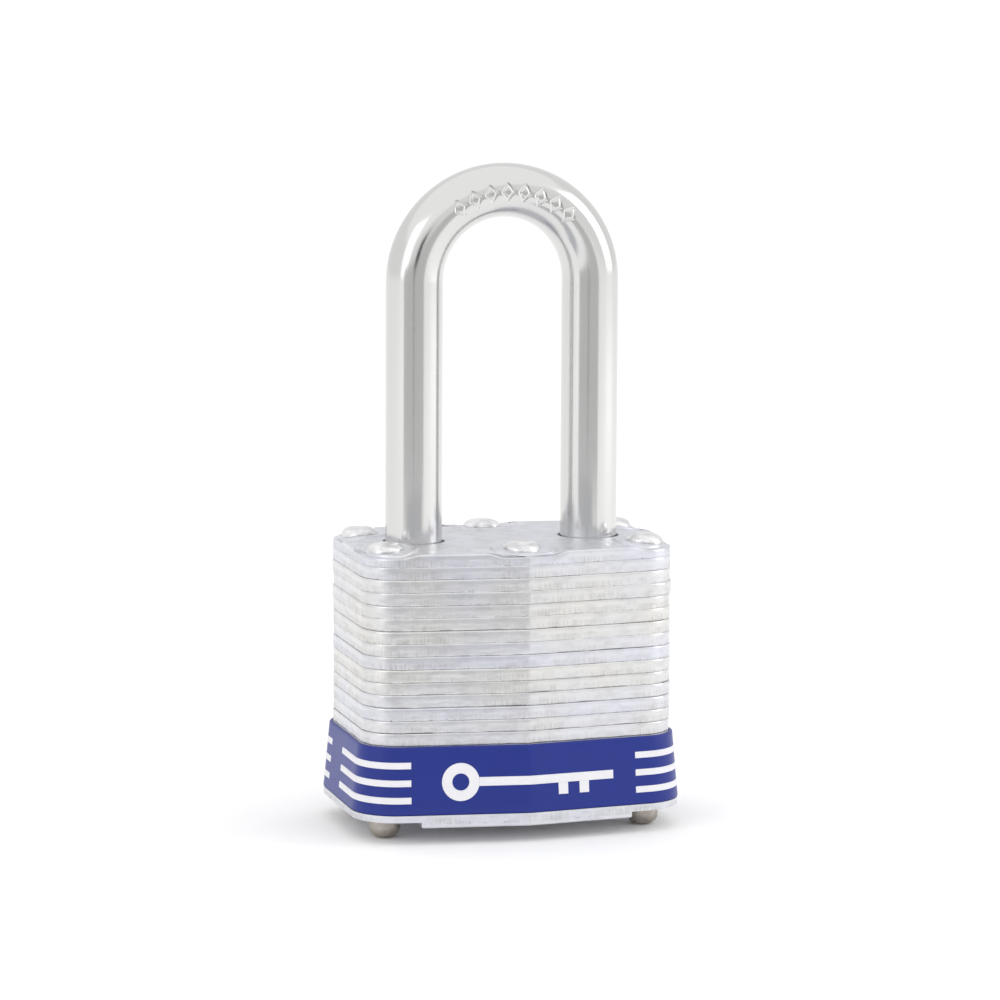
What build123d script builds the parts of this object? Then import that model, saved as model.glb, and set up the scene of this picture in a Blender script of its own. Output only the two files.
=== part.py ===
"""Laminated steel padlock with a long shackle: millimetres, +Z up.

The origin is on the surface that the lock stands on, midway between its four rivet feet.
The toe leg of the shackle is at +X, the heel leg at -X, and the front of the lock faces -Y.
The lock is drawn unlocked and closed: the plug is turned to its open position and both
levers are drawn in, so the shackle is down but free to lift. Turning the plug by -90
degrees locks it.
"""

import os
from math import asin, cos, hypot, sin, sqrt

from build123d import *

os.makedirs("parts", exist_ok=True)

# Plate stack
plate_thickness = 1.59
guide_plate_count = 3
lever_plate_count = 2
cylinder_plate_count = 12
body_width = 39.7
end_depth = 22.0
ridge_depth = 26.6
corner_radius = 4.6
edge_chamfer = 0.12

# Bottom plate and bumper
lip_thickness = 0.85
lip_overhang = 1.15
pad_setback = 3.2
bumper_flange = 0.5
bumper_flange_width = 1.0
bumper_plate_count = 5
bumper_top_wall = 0.4
bumper_bottom_wall = 1.2

# Rivets
rivet_diameter = 3.95
rivet_end_inset = 3.15
rivet_side_inset = 4.2
middle_rivet_inset = 3.7
rivet_head_diameter = 4.7
rivet_head_height = 0.95
rivet_foot_height = 2.1
rivet_foot_round = 1.4

# Shackle
bar_diameter = 7.1
leg_spacing = 22.65
loop_height = 32.2
toe_floor_gap = 1.12
toe_exit = 0.4
notch_depth = 1.5
notch_shoulder = 1.2
collar_height = 1.8
toe_chamfer = 0.6

# Shackle retainer clip
retainer_overlap = 2.0
retainer_tail = 3.2
retainer_arm = 1.4

# Levers
lever_half_width = 4.6
lever_nose_half_width = 2.4
lever_nose_length = 3.1
lever_tail = 1.2

# Cylinder
plug_diameter = 8.0
plug_face_recess = 0.2
plug_top_gap = 1.37
barrel_wall = 1.5
chimney_width = 5.0
spring_room = 2.96
cover_thickness = 0.5
pin_count = 4
pin_diameter = 2.8
pin_end_wall = 1.6
key_pin_lengths = [2.9, 2.3, 3.2, 2.6]
pin_tip = 0.7
driver_length = 3.0
chamber_floor = 1.0
keyway_width = 2.0
keyway_wall = 0.7
ward_width = 0.55
ward_height = 1.1

# Cam and plug clip
lug_diameter = 1.1
cam_disc_radius = 2.4
spindle_radius = 2.0
tang_width = 1.4
tang_length = 3.0
tang_height = 1.1
plug_neck_radius = 1.6
clip_thickness = 0.8
clip_overlap = 0.75

# Springs
shackle_spring_wire = 0.9
shackle_spring_turns = 4
lever_spring_wire = 0.3
lever_spring_diameter = 1.9
lever_spring_length = 3.0
lever_spring_turns = 5
pin_spring_wire = 0.28
pin_spring_turns = 5

# Clearances
leg_clearance = 0.3
rivet_clearance = 0.05
bumper_clearance = 0.05
layer_clearance = 0.1
lever_clearance = 0.15
lug_clearance = 0.12
spindle_clearance = 0.15
plug_clearance = 0.04
plate_hole_clearance = 0.1
pin_clearance = 0.05
pin_chamfer = 0.15
shear_gap = 0.04
spring_gap = 0.1
neck_clearance = 0.25

# Heights, from the surface up
bottom_plate_base = rivet_foot_height
bottom_plate_top = bottom_plate_base + plate_thickness
stack_base = bottom_plate_top + bumper_flange
cylinder_top = stack_base + cylinder_plate_count * plate_thickness
retainer_top = cylinder_top + plate_thickness
cam_top = retainer_top + plate_thickness
lever_top = cam_top + lever_plate_count * plate_thickness
guide_top = lever_top + guide_plate_count * plate_thickness
body_top = guide_top + plate_thickness
loop_centre = body_top + loop_height

# Places that follow from the driving sizes
rivet_x = body_width / 2 - rivet_end_inset
rivet_y = end_depth / 2 - rivet_side_inset
middle_rivet_y = ridge_depth / 2 - middle_rivet_inset
pad_half_width = rivet_x - pad_setback
bar_radius = bar_diameter / 2
heel_x = -leg_spacing / 2
toe_x = leg_spacing / 2
leg_inner_face = toe_x - bar_radius
lever_travel = notch_depth
lug_orbit = lever_travel / sqrt(2)
lug_rest = lug_orbit / sqrt(2)
neck_radius = bar_radius - notch_depth - lever_clearance / 2
plug_radius = plug_diameter / 2
barrel_radius = plug_radius + plug_clearance + barrel_wall
driver_inner_end = plug_radius + shear_gap
driver_outer_end = driver_inner_end + driver_length
chimney_height = driver_outer_end + spring_room
housing_top = cylinder_top - plug_top_gap
first_pin_height = stack_base + pin_end_wall + pin_diameter / 2
pin_spacing = (housing_top - stack_base - 2 * pin_end_wall - pin_diameter) / (pin_count - 1)
pin_heights = [first_pin_height + number * pin_spacing for number in range(pin_count)]


def body_outline(grow):
    """The plan of the plates: a hexagon with four rounded ends, every side moved out by grow."""
    slope = (ridge_depth - end_depth) / body_width
    half_width = body_width / 2 + grow
    ridge = ridge_depth / 2 + grow * hypot(1, slope)
    end = ridge - slope * half_width
    with BuildSketch() as outline:
        with BuildLine():
            Polyline(
                (-half_width, -end), (0, -ridge), (half_width, -end),
                (half_width, end), (0, ridge), (-half_width, end), close=True,
            )
        make_face()
        end_corners = [corner for corner in outline.vertices() if abs(corner.X) > half_width / 2]
        fillet(end_corners, corner_radius + grow)
    return outline.sketch


plate_outline = body_outline(0)

with BuildSketch() as corner_rivet_holes:
    with GridLocations(2 * rivet_x, 2 * rivet_y, 2, 2):
        Circle(rivet_diameter / 2 + rivet_clearance)

with BuildSketch() as middle_rivet_holes:
    with GridLocations(0, 2 * middle_rivet_y, 1, 2):
        Circle(rivet_diameter / 2 + rivet_clearance)

with BuildSketch() as heel_hole:
    with Locations((heel_x, 0)):
        Circle(bar_radius + leg_clearance)

with BuildSketch() as leg_holes:
    with GridLocations(leg_spacing, 0, 2, 1):
        Circle(bar_radius + leg_clearance)


def write_plate(name, base, cutouts):
    """One sheared plate of the stack: the outline less its cut-outs, with both edges broken."""
    with BuildPart() as plate:
        with BuildSketch(Plane.XY.offset(base)):
            add(plate_outline)
            add(corner_rivet_holes.sketch, mode=Mode.SUBTRACT)
            for cutout in cutouts:
                add(cutout, mode=Mode.SUBTRACT)
        extrude(amount=plate_thickness)
        flat_faces = plate.faces().filter_by(Axis.Z).sort_by(Axis.Z)
        chamfer(flat_faces[0].outer_wire().edges() + flat_faces[-1].outer_wire().edges(), edge_chamfer)
    plate.part.label = name
    export_step(plate.part, f"parts/{name}.step")


# Top plate and guide plates: both legs pass through them
write_plate("top_plate", guide_top, [leg_holes.sketch, middle_rivet_holes.sketch])
for number in range(guide_plate_count):
    write_plate(
        f"guide_plate_{number + 1}",
        guide_top - (number + 1) * plate_thickness,
        [leg_holes.sketch, middle_rivet_holes.sketch],
    )

# Levers, side by side: the toe lever lies at +Y, and the heel lever is it turned half round
lever_base = cam_top + layer_clearance
lever_thickness = lever_plate_count * plate_thickness - 2 * layer_clearance
lever_gap = layer_clearance + lug_clearance / 2
slot_half_width = lug_diameter / 2 + lug_clearance
slot_depth = lug_orbit + lug_diameter / 2 + lug_clearance
lever_tail_x = -lug_rest - slot_half_width - lever_tail
nose_tip = leg_inner_face - lever_clearance
nose_root = nose_tip - lever_nose_length
block_end = nose_root + lever_clearance

with BuildSketch(Plane.XY.offset(lever_base)) as lever_shape:
    with Locations((lever_tail_x, lever_gap)):
        Rectangle(block_end - lever_tail_x, lever_half_width - lever_gap, align=(Align.MIN, Align.MIN))
    with Locations((nose_root, 0)):
        Rectangle(lever_nose_length, 2 * lever_nose_half_width, align=(Align.MIN, Align.CENTER))
    with Locations((-lug_rest, 0)):
        Rectangle(2 * slot_half_width, 2 * slot_depth, mode=Mode.SUBTRACT)

with BuildPart() as toe_lever:
    add(lever_shape.sketch)
    extrude(amount=lever_thickness)
toe_lever.part.label = "toe_lever"
export_step(toe_lever.part, "parts/toe_lever.step")

with BuildPart() as heel_lever:
    add(lever_shape.sketch.rotate(Axis.Z, 180))
    extrude(amount=lever_thickness)
heel_lever.part.label = "heel_lever"
export_step(heel_lever.part, "parts/heel_lever.step")

# Lever plates: the pocket holds both levers, their travel and the two springs behind them
spring_wall = lever_tail_x - lever_spring_length
pocket_half_depth = lever_half_width + lever_clearance
with BuildSketch() as half_pocket:
    with Locations((lever_tail_x - lever_clearance, 0)):
        Rectangle(
            block_end + lever_travel + 2 * lever_clearance - lever_tail_x, pocket_half_depth,
            align=(Align.MIN, Align.MIN),
        )
    with Locations((spring_wall, 0)):
        Rectangle(lever_spring_length, pocket_half_depth, align=(Align.MIN, Align.MIN))
    with Locations((nose_root - lever_clearance, 0)):
        Rectangle(
            toe_x - nose_root, 2 * lever_nose_half_width + 2 * lever_clearance,
            align=(Align.MIN, Align.CENTER),
        )
for number in range(lever_plate_count):
    write_plate(
        f"lever_plate_{number + 1}",
        lever_top - (number + 1) * plate_thickness,
        [
            leg_holes.sketch, middle_rivet_holes.sketch,
            half_pocket.sketch, half_pocket.sketch.rotate(Axis.Z, 180),
        ],
    )

# Cam plate: a round window for the cam's disc
with BuildSketch() as cam_window:
    Circle(cam_disc_radius + spindle_clearance)
write_plate("cam_plate", retainer_top, [leg_holes.sketch, middle_rivet_holes.sketch, cam_window.sketch])

# Retainer clip: a U that straddles the neck of the heel leg and stops its collar
clip_base = cylinder_top + layer_clearance
clip_height = plate_thickness - 2 * layer_clearance
clip_slot = neck_radius + neck_clearance
clip_half_width = clip_slot + retainer_overlap
with BuildSketch() as clip_blank:
    with Locations((heel_x - retainer_tail, 0)):
        Rectangle(
            retainer_tail + clip_slot + retainer_arm, 2 * clip_half_width, align=(Align.MIN, Align.CENTER)
        )
with BuildPart() as shackle_retainer:
    with BuildSketch(Plane.XY.offset(clip_base)):
        add(clip_blank.sketch)
        with Locations((heel_x, 0)):
            Circle(clip_slot, mode=Mode.SUBTRACT)
            Rectangle(
                2 * retainer_tail, 2 * clip_slot, align=(Align.MAX, Align.CENTER), mode=Mode.SUBTRACT
            )
    extrude(amount=clip_height)
shackle_retainer.part.label = "shackle_retainer"
export_step(shackle_retainer.part, "parts/shackle_retainer.step")

# Retainer plate: pocket for the clip and a bearing hole for the cam's spindle
with BuildSketch() as retainer_window:
    add(offset(clip_blank.sketch, plate_hole_clearance, kind=Kind.INTERSECTION, mode=Mode.PRIVATE))
    Circle(spindle_radius + spindle_clearance)
write_plate(
    "retainer_plate", cylinder_top,
    [leg_holes.sketch, middle_rivet_holes.sketch, retainer_window.sketch],
)

# Cylinder plates: the keyed cylinder's profile and the heel leg's deep hole
with BuildSketch() as cylinder_window:
    Circle(barrel_radius + plate_hole_clearance)
    Rectangle(
        chimney_width + 2 * plate_hole_clearance,
        chimney_height + cover_thickness + plate_hole_clearance,
        align=(Align.CENTER, Align.MIN),
    )
for number in range(cylinder_plate_count):
    write_plate(
        f"cylinder_plate_{number + 1:02d}",
        cylinder_top - (number + 1) * plate_thickness,
        [heel_hole.sketch, cylinder_window.sketch],
    )

# Bottom plate: full thickness between the rivet feet, thin lips round them, window for the plug
lip_outline = body_outline(lip_overhang)
with BuildPart() as bottom_plate:
    with BuildSketch(Plane.XY.offset(bottom_plate_top)):
        add(lip_outline)
    extrude(amount=-lip_thickness)
    with BuildSketch(Plane.XY.offset(bottom_plate_top)):
        add(lip_outline)
        Rectangle(2 * pad_half_width, 2 * ridge_depth, mode=Mode.INTERSECT)
    extrude(amount=-plate_thickness)
    with BuildSketch(Plane.XY.offset(bottom_plate_top)):
        add(body_outline(-bumper_flange_width - bumper_clearance))
    extrude(amount=bumper_flange)
    with BuildSketch(Plane.XY.offset(bottom_plate_base)):
        Circle(plug_radius + plate_hole_clearance)
        add(corner_rivet_holes.sketch)
    extrude(amount=plate_thickness + bumper_flange, mode=Mode.SUBTRACT)
    lowest_face = bottom_plate.faces().filter_by(Axis.Z).sort_by(Axis.Z)[0]
    chamfer(lowest_face.outer_wire().edges(), edge_chamfer)
bottom_plate.part.label = "bottom_plate"
export_step(bottom_plate.part, "parts/bottom_plate.step")

# Bumper: a flared skirt with an inturned flange that the bottom plate clamps
bumper_top = stack_base + bumper_plate_count * plate_thickness
with BuildPart() as bumper:
    with BuildSketch(Plane.XY.offset(bottom_plate_top)):
        add(body_outline(bumper_bottom_wall))
    with BuildSketch(Plane.XY.offset(bumper_top)):
        add(body_outline(bumper_top_wall))
    loft(ruled=True)
    with BuildSketch(Plane.XY.offset(stack_base)):
        add(body_outline(bumper_clearance))
    extrude(amount=bumper_top - stack_base, mode=Mode.SUBTRACT)
    with BuildSketch(Plane.XY.offset(bottom_plate_top)):
        add(body_outline(-bumper_flange_width))
    extrude(amount=bumper_flange, mode=Mode.SUBTRACT)
bumper.part.label = "bumper"
export_step(bumper.part, "parts/bumper.step")


def rivet_blank(base, end_round):
    """A rivet on the Z axis: a shank from base up, and a shallow dome on the top plate."""
    shank = rivet_diameter / 2
    head = rivet_head_diameter / 2
    dome = (head**2 + rivet_head_height**2) / (2 * rivet_head_height)
    dome_centre = body_top + rivet_head_height - dome
    half_angle = asin(head / dome) / 2
    with BuildPart() as blank:
        with BuildSketch(Plane.XZ):
            with BuildLine():
                Polyline(
                    (0, body_top + rivet_head_height), (0, base), (shank, base),
                    (shank, body_top), (head, body_top),
                )
                ThreePointArc(
                    (head, body_top),
                    (dome * sin(half_angle), dome_centre + dome * cos(half_angle)),
                    (0, body_top + rivet_head_height),
                )
            make_face()
        revolve(axis=Axis.Z)
        if end_round:
            fillet(blank.edges().sort_by(Axis.Z)[0], end_round)
    return blank.part


# Corner rivets: they clamp the whole stack, and their rounded lower ends are the feet
corner_rivet_blank = rivet_blank(0, rivet_foot_round)
with BuildPart() as corner_rivets:
    with GridLocations(2 * rivet_x, 2 * rivet_y, 2, 2):
        add(corner_rivet_blank)
corner_rivets.part.label = "corner_rivets"
export_step(corner_rivets.part, "parts/corner_rivets.step")

# Middle rivets: short, because the cylinder's chimney lies below them
middle_rivet_blank = rivet_blank(cylinder_top, 0)
with BuildPart() as middle_rivets:
    with GridLocations(0, 2 * middle_rivet_y, 1, 2):
        add(middle_rivet_blank)
middle_rivets.part.label = "middle_rivets"
export_step(middle_rivets.part, "parts/middle_rivets.step")

# Shackle: one bent bar, notched inside both legs, the heel leg turned down to a neck and a collar
toe_end = cylinder_top + toe_floor_gap
shackle_lift = body_top - toe_end + toe_exit
notch_base = lever_base - 2 * lever_clearance
notch_top = lever_base + lever_thickness + 2 * lever_clearance
shoulder = notch_base - notch_shoulder
collar_top = clip_base - shackle_lift - layer_clearance
collar_base = collar_top - collar_height
with BuildPart() as shackle:
    with BuildLine() as bar_path:
        Line((toe_x, 0, toe_end), (toe_x, 0, loop_centre))
        ThreePointArc((toe_x, 0, loop_centre), (0, 0, loop_centre + toe_x), (heel_x, 0, loop_centre))
        Line((heel_x, 0, loop_centre), (heel_x, 0, shoulder))
    with BuildSketch(Plane.XY.offset(toe_end)):
        with Locations((toe_x, 0)):
            Circle(bar_radius)
    sweep(path=bar_path.line)
    chamfer(shackle.faces().sort_by(Axis.Z)[0].edges(), toe_chamfer)
    with BuildSketch(Plane.XY.offset(notch_base)):
        Rectangle(2 * (leg_inner_face + notch_depth), bar_diameter)
    extrude(amount=notch_top - notch_base, mode=Mode.SUBTRACT)
    with BuildSketch(Plane.XY.offset(collar_top)):
        with Locations((heel_x, 0)):
            Circle(neck_radius)
    extrude(amount=shoulder - collar_top)
    with BuildSketch(Plane.XY.offset(collar_base)):
        with Locations((heel_x, 0)):
            Circle(bar_radius)
    extrude(amount=collar_height)
shackle.part.label = "shackle"
export_step(shackle.part, "parts/shackle.step")

# Cylinder housing: a brass barrel with a chimney that holds the driver pins
chamber_radius = pin_diameter / 2 + pin_clearance
with BuildPart() as cylinder_housing:
    with BuildSketch(Plane.XY.offset(stack_base)):
        Circle(barrel_radius)
        Rectangle(chimney_width, chimney_height, align=(Align.CENTER, Align.MIN))
        Circle(plug_radius + plug_clearance, mode=Mode.SUBTRACT)
    extrude(amount=housing_top - stack_base)
    with BuildSketch(Plane.XZ.offset(-plug_radius / 2)):
        with Locations([(0, height) for height in pin_heights]):
            Circle(chamber_radius)
    extrude(amount=-chimney_height, mode=Mode.SUBTRACT)
cylinder_housing.part.label = "cylinder_housing"
export_step(cylinder_housing.part, "parts/cylinder_housing.step")

# Chamber cover: the strip that closes the four spring chambers
with BuildPart() as chamber_cover:
    with BuildSketch(Plane.XZ.offset(-chimney_height)):
        with Locations((0, stack_base)):
            Rectangle(chimney_width, housing_top - stack_base, align=(Align.CENTER, Align.MIN))
    extrude(amount=-cover_thickness)
chamber_cover.part.label = "chamber_cover"
export_step(chamber_cover.part, "parts/chamber_cover.step")

# Plug: turned brass with a warded keyway, four pin chambers, a clip neck and a tang
plug_face = bottom_plate_base + plug_face_recess
keyway_reach = plug_radius - keyway_wall
keyway_top = housing_top - plug_face_recess - layer_clearance - ward_height
with BuildPart() as plug:
    with BuildSketch(Plane.XY.offset(plug_face)):
        Circle(plug_radius)
    extrude(amount=housing_top - plug_face)
    with BuildSketch(Plane.XY.offset(plug_face)):
        Rectangle(2 * keyway_reach, keyway_width)
        with Locations((-ward_height, keyway_width / 2), (ward_height, -keyway_width / 2)):
            Rectangle(ward_height, 2 * ward_width, mode=Mode.SUBTRACT)
    extrude(amount=keyway_top - plug_face, mode=Mode.SUBTRACT)
    with BuildSketch(Plane.YZ.offset(-plug_radius)):
        with Locations([(0, height) for height in pin_heights]):
            Circle(chamber_radius)
    extrude(amount=plug_radius + chamber_floor, mode=Mode.SUBTRACT)
    with BuildSketch(Plane.XY.offset(housing_top)):
        Circle(plug_neck_radius)
    extrude(amount=clip_thickness + 2 * layer_clearance)
    tang_base = housing_top + clip_thickness + 2 * layer_clearance
    with BuildSketch(Plane.XY.offset(tang_base)):
        Rectangle(tang_length, tang_width)
    extrude(amount=tang_height)
plug.part.label = "plug"
export_step(plug.part, "parts/plug.step")

# Plug clip: an open spring ring on the neck, above the housing
with BuildPart() as plug_clip:
    with BuildSketch(Plane.XY.offset(housing_top + layer_clearance)):
        Circle(plug_radius + clip_overlap)
        Circle(plug_neck_radius + plug_clearance, mode=Mode.SUBTRACT)
        Rectangle(
            2 * plug_radius, 2 * plug_neck_radius - 2 * clip_overlap,
            align=(Align.MIN, Align.CENTER), mode=Mode.SUBTRACT,
        )
    extrude(amount=clip_thickness)
plug_clip.part.label = "plug_clip"
export_step(plug_clip.part, "parts/plug_clip.step")

# Cam: slotted spindle, disc, and the two lugs that draw the levers in
cam_disc_base = retainer_top + layer_clearance
cam_disc_top = cam_top - layer_clearance
with BuildPart() as cam:
    with BuildSketch(Plane.XY.offset(tang_base + layer_clearance)):
        Circle(spindle_radius)
    extrude(amount=cam_disc_base - tang_base - layer_clearance)
    with BuildSketch(Plane.XY.offset(cam_disc_base)):
        Circle(cam_disc_radius)
    extrude(amount=cam_disc_top - cam_disc_base)
    with BuildSketch(Plane.XY.offset(cam_disc_top)):
        with Locations((-lug_rest, lug_rest), (lug_rest, -lug_rest)):
            Circle(lug_diameter / 2)
    extrude(amount=lever_base + lever_thickness - cam_disc_top)
    with BuildSketch(Plane.XY.offset(tang_base)):
        Rectangle(2 * cam_disc_radius, tang_width + 2 * layer_clearance)
    extrude(amount=tang_height + layer_clearance, mode=Mode.SUBTRACT)
cam.part.label = "cam"
export_step(cam.part, "parts/cam.step")

# Key pins: pointed, in the plug's chambers, with the rims of their outer ends at the shear line
pin_seat = sqrt(plug_radius**2 - (pin_diameter / 2) ** 2)
for number, (height, length) in enumerate(zip(pin_heights, key_pin_lengths), start=1):
    with BuildPart() as key_pin:
        with BuildSketch(Plane.YZ.offset(-pin_seat)):
            with Locations((0, height)):
                Circle(pin_diameter / 2)
        extrude(amount=length)
        chamfer(key_pin.faces().sort_by(Axis.X)[-1].edges(), pin_tip)
    key_pin.part.label = f"key_pin_{number}"
    export_step(key_pin.part, f"parts/key_pin_{number}.step")

# Driver pins: they rest on the turned plug, in the housing's chambers
for number, height in enumerate(pin_heights, start=1):
    with BuildPart() as driver_pin:
        with BuildSketch(Plane.XZ.offset(-driver_inner_end)):
            with Locations((0, height)):
                Circle(pin_diameter / 2)
        extrude(amount=-driver_length)
        chamfer(driver_pin.edges().filter_by(GeomType.CIRCLE), pin_chamfer)
    driver_pin.part.label = f"driver_pin_{number}"
    export_step(driver_pin.part, f"parts/driver_pin_{number}.step")


def coil_spring(start, direction, length, coil_diameter, wire, turns):
    """A round-wire compression spring from start, length along direction, both ends inside it."""
    wire_run = length - wire
    first_turn = Vector(*start) + Vector(*direction) * (wire / 2)
    with BuildPart() as spring:
        with BuildLine() as coil:
            Helix(
                pitch=wire_run / turns, height=wire_run, radius=(coil_diameter - wire) / 2,
                center=first_turn, direction=direction,
            )
        with BuildSketch(Plane(origin=coil.line @ 0, z_dir=coil.line % 0)):
            Circle(wire / 2)
        sweep(path=coil.line, is_frenet=True)
    return spring.part


# Shackle spring: it stands in the heel leg's hole and pushes the collar up
shackle_spring_length = collar_base - stack_base - 2 * spring_gap
shackle_spring = coil_spring(
    (heel_x, 0, stack_base + spring_gap), (0, 0, 1), shackle_spring_length,
    bar_diameter - 2 * spring_gap, shackle_spring_wire, shackle_spring_turns,
)
shackle_spring.label = "shackle_spring"
export_step(shackle_spring, "parts/shackle_spring.step")

# Lever springs: one behind each lever, pushing it out
lever_spring_centre = (lever_nose_half_width + lever_clearance + lever_half_width) / 2
lever_middle = lever_base + lever_thickness / 2
lever_spring_span = lever_spring_length - 2 * spring_gap
with BuildPart() as lever_springs:
    for side in (1, -1):
        start = (side * (spring_wall + spring_gap), side * lever_spring_centre, lever_middle)
        add(
            coil_spring(
                start, (side, 0, 0), lever_spring_span,
                lever_spring_diameter, lever_spring_wire, lever_spring_turns,
            )
        )
lever_springs.part.label = "lever_springs"
export_step(lever_springs.part, "parts/lever_springs.step")

# Pin springs: between each driver pin and the chamber cover
pin_spring_length = chimney_height - driver_outer_end - 2 * spring_gap
for number, height in enumerate(pin_heights, start=1):
    pin_spring = coil_spring(
        (0, driver_outer_end + spring_gap, height), (0, 1, 0), pin_spring_length,
        pin_diameter - 2 * spring_gap, pin_spring_wire, pin_spring_turns,
    )
    pin_spring.label = f"pin_spring_{number}"
    export_step(pin_spring, f"parts/pin_spring_{number}.step")
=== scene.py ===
"""Laminated padlock with a long shackle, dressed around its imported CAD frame. Metres throughout."""

import math

import bmesh
import bpy
import numpy as np
from mathutils import Matrix, Vector
from mathutils.geometry import delaunay_2d_cdt, tessellate_polygon


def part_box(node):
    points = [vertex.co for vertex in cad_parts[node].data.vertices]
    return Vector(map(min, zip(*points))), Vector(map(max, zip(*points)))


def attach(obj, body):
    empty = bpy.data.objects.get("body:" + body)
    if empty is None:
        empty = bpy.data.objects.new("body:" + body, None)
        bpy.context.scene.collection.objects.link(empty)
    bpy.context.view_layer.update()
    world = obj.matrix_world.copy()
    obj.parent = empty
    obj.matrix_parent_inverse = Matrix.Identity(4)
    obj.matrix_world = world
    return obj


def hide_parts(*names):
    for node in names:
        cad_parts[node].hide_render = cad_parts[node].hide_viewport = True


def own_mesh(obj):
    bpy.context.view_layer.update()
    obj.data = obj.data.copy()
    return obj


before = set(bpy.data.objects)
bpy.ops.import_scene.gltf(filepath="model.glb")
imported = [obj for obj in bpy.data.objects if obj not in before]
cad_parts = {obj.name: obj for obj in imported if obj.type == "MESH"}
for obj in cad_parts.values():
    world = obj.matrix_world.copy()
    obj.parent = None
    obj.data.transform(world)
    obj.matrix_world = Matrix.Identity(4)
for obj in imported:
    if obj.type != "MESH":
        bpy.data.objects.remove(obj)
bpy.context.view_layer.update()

# ---------------------------------------------------------------- shackle
# One bent round bar of hardened steel, ground smooth, then nickel and chromium plated. The heel leg
# is turned down to a neck and a collar inside the body, and both legs are notched for the levers.
# Bending thinned the crown a little, and a row of plain lozenges is punched into its front.
MM = 0.001


def linear(colour):
    """An sRGB hex colour as linear RGBA."""
    parts = [int(colour[i : i + 2], 16) / 255 for i in (1, 3, 5)]
    return [*((c / 12.92 if c <= 0.04045 else ((c + 0.055) / 1.055) ** 2.4) for c in parts), 1.0]


def add(tree, kind, inputs=None, **settings):
    """Adds one node, sets its settings, and sets or links its inputs."""
    made = tree.nodes.new(kind)
    for key, value in settings.items():
        setattr(made, key, value)
    for key, value in (inputs or {}).items():
        if isinstance(value, bpy.types.NodeSocket):
            tree.links.new(value, made.inputs[key])
        else:
            made.inputs[key].default_value = value
    return made


def material(name):
    """A new material, with its node tree and its shader."""
    made = bpy.data.materials.new(name)
    made.use_nodes = True
    tree = made.node_tree
    return made, tree, tree.nodes["Principled BSDF"]


def remap(tree, value, low, high, to_low=0.0, to_high=1.0):
    """A node's value carried from one range to another, held at the ends."""
    return add(tree, "ShaderNodeMapRange", {
        "Value": value, "From Min": low, "From Max": high, "To Min": to_low, "To Max": to_high}).outputs[0]


def noise(tree, place, scale, detail, **more):
    """The strength of a soft noise over a place: scale in waves per metre, detail in octaves."""
    return add(tree, "ShaderNodeTexNoise", {
        "Vector": place, "Scale": scale, "Detail": detail, **more}).outputs["Fac"]


def smooth_step(low, high, x):
    """0 below low, 1 above high, and a smooth S between them."""
    t = np.clip((x - low) / (high - low), 0, 1)
    return t * t * (3 - 2 * t)


def grid_quads(rows, columns, wrap_columns=True, first=0):
    """Faces between the neighbouring rows of a grid of points, wrapped round its columns or not."""
    across = columns if wrap_columns else columns - 1
    r, c = np.meshgrid(np.arange(rows - 1), np.arange(across), indexing="ij")
    n = (c + 1) % columns
    corners = [r * columns + c, r * columns + n, (r + 1) * columns + n, (r + 1) * columns + c]
    return (np.stack(corners, -1).reshape(-1, 4) + first).tolist()


def make_piece(name, points, faces, finish, body, crease=35, weld=1e-7):
    """A closed mesh from points and faces, welded, turned outward, smooth but for its creases."""
    mesh = bpy.data.meshes.new(name)
    mesh.from_pydata(np.asarray(points, float).reshape(-1, 3).tolist(), [], faces)
    work = bmesh.new()
    work.from_mesh(mesh)
    bmesh.ops.remove_doubles(work, verts=work.verts, dist=weld)
    bmesh.ops.dissolve_degenerate(work, dist=weld, edges=work.edges)
    bmesh.ops.recalc_face_normals(work, faces=work.faces)
    work.to_mesh(mesh)
    work.free()
    mesh.shade_smooth()
    mesh.set_sharp_from_angle(angle=math.radians(crease))
    mesh.materials.append(finish)
    made = bpy.data.objects.new(name, mesh)
    bpy.context.scene.collection.objects.link(made)
    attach(made, body)
    return made


shackle_low, shackle_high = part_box("shackle")
lever_low, lever_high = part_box("toe_lever")
cylinder_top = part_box("cylinder_plate_01")[1].z
body_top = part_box("top_plate")[1].z
bar_radius = (shackle_high.y - shackle_low.y) / 2
leg_x = shackle_high.x - bar_radius
arch_z = shackle_high.z - shackle_high.x
toe_gap = 1.12 * MM
toe_end = cylinder_top + toe_gap
notch_depth = 1.5 * MM
notch_clearance = 0.3 * MM
notch_low = lever_low.z - notch_clearance
notch_high = lever_high.z + notch_clearance
shoulder_drop = 1.2 * MM
shoulder = notch_low - shoulder_drop
collar_height = 1.8 * MM
collar_low = shackle_low.z
collar_high = collar_low + collar_height
neck_radius = 1.975 * MM
end_round = 0.6 * MM
crown_thinning = 0.055
crown_widening = 0.02
mark_count = 8
mark_pitch = 2.15 * MM
mark_half_width = 0.7 * MM
mark_half_height = 1.05 * MM
mark_stroke = 0.14 * MM
mark_depth = 0.09 * MM
mark_margin = 0.6 * MM
mark_step = 0.085 * MM
mark_middle = math.radians(86)


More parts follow.
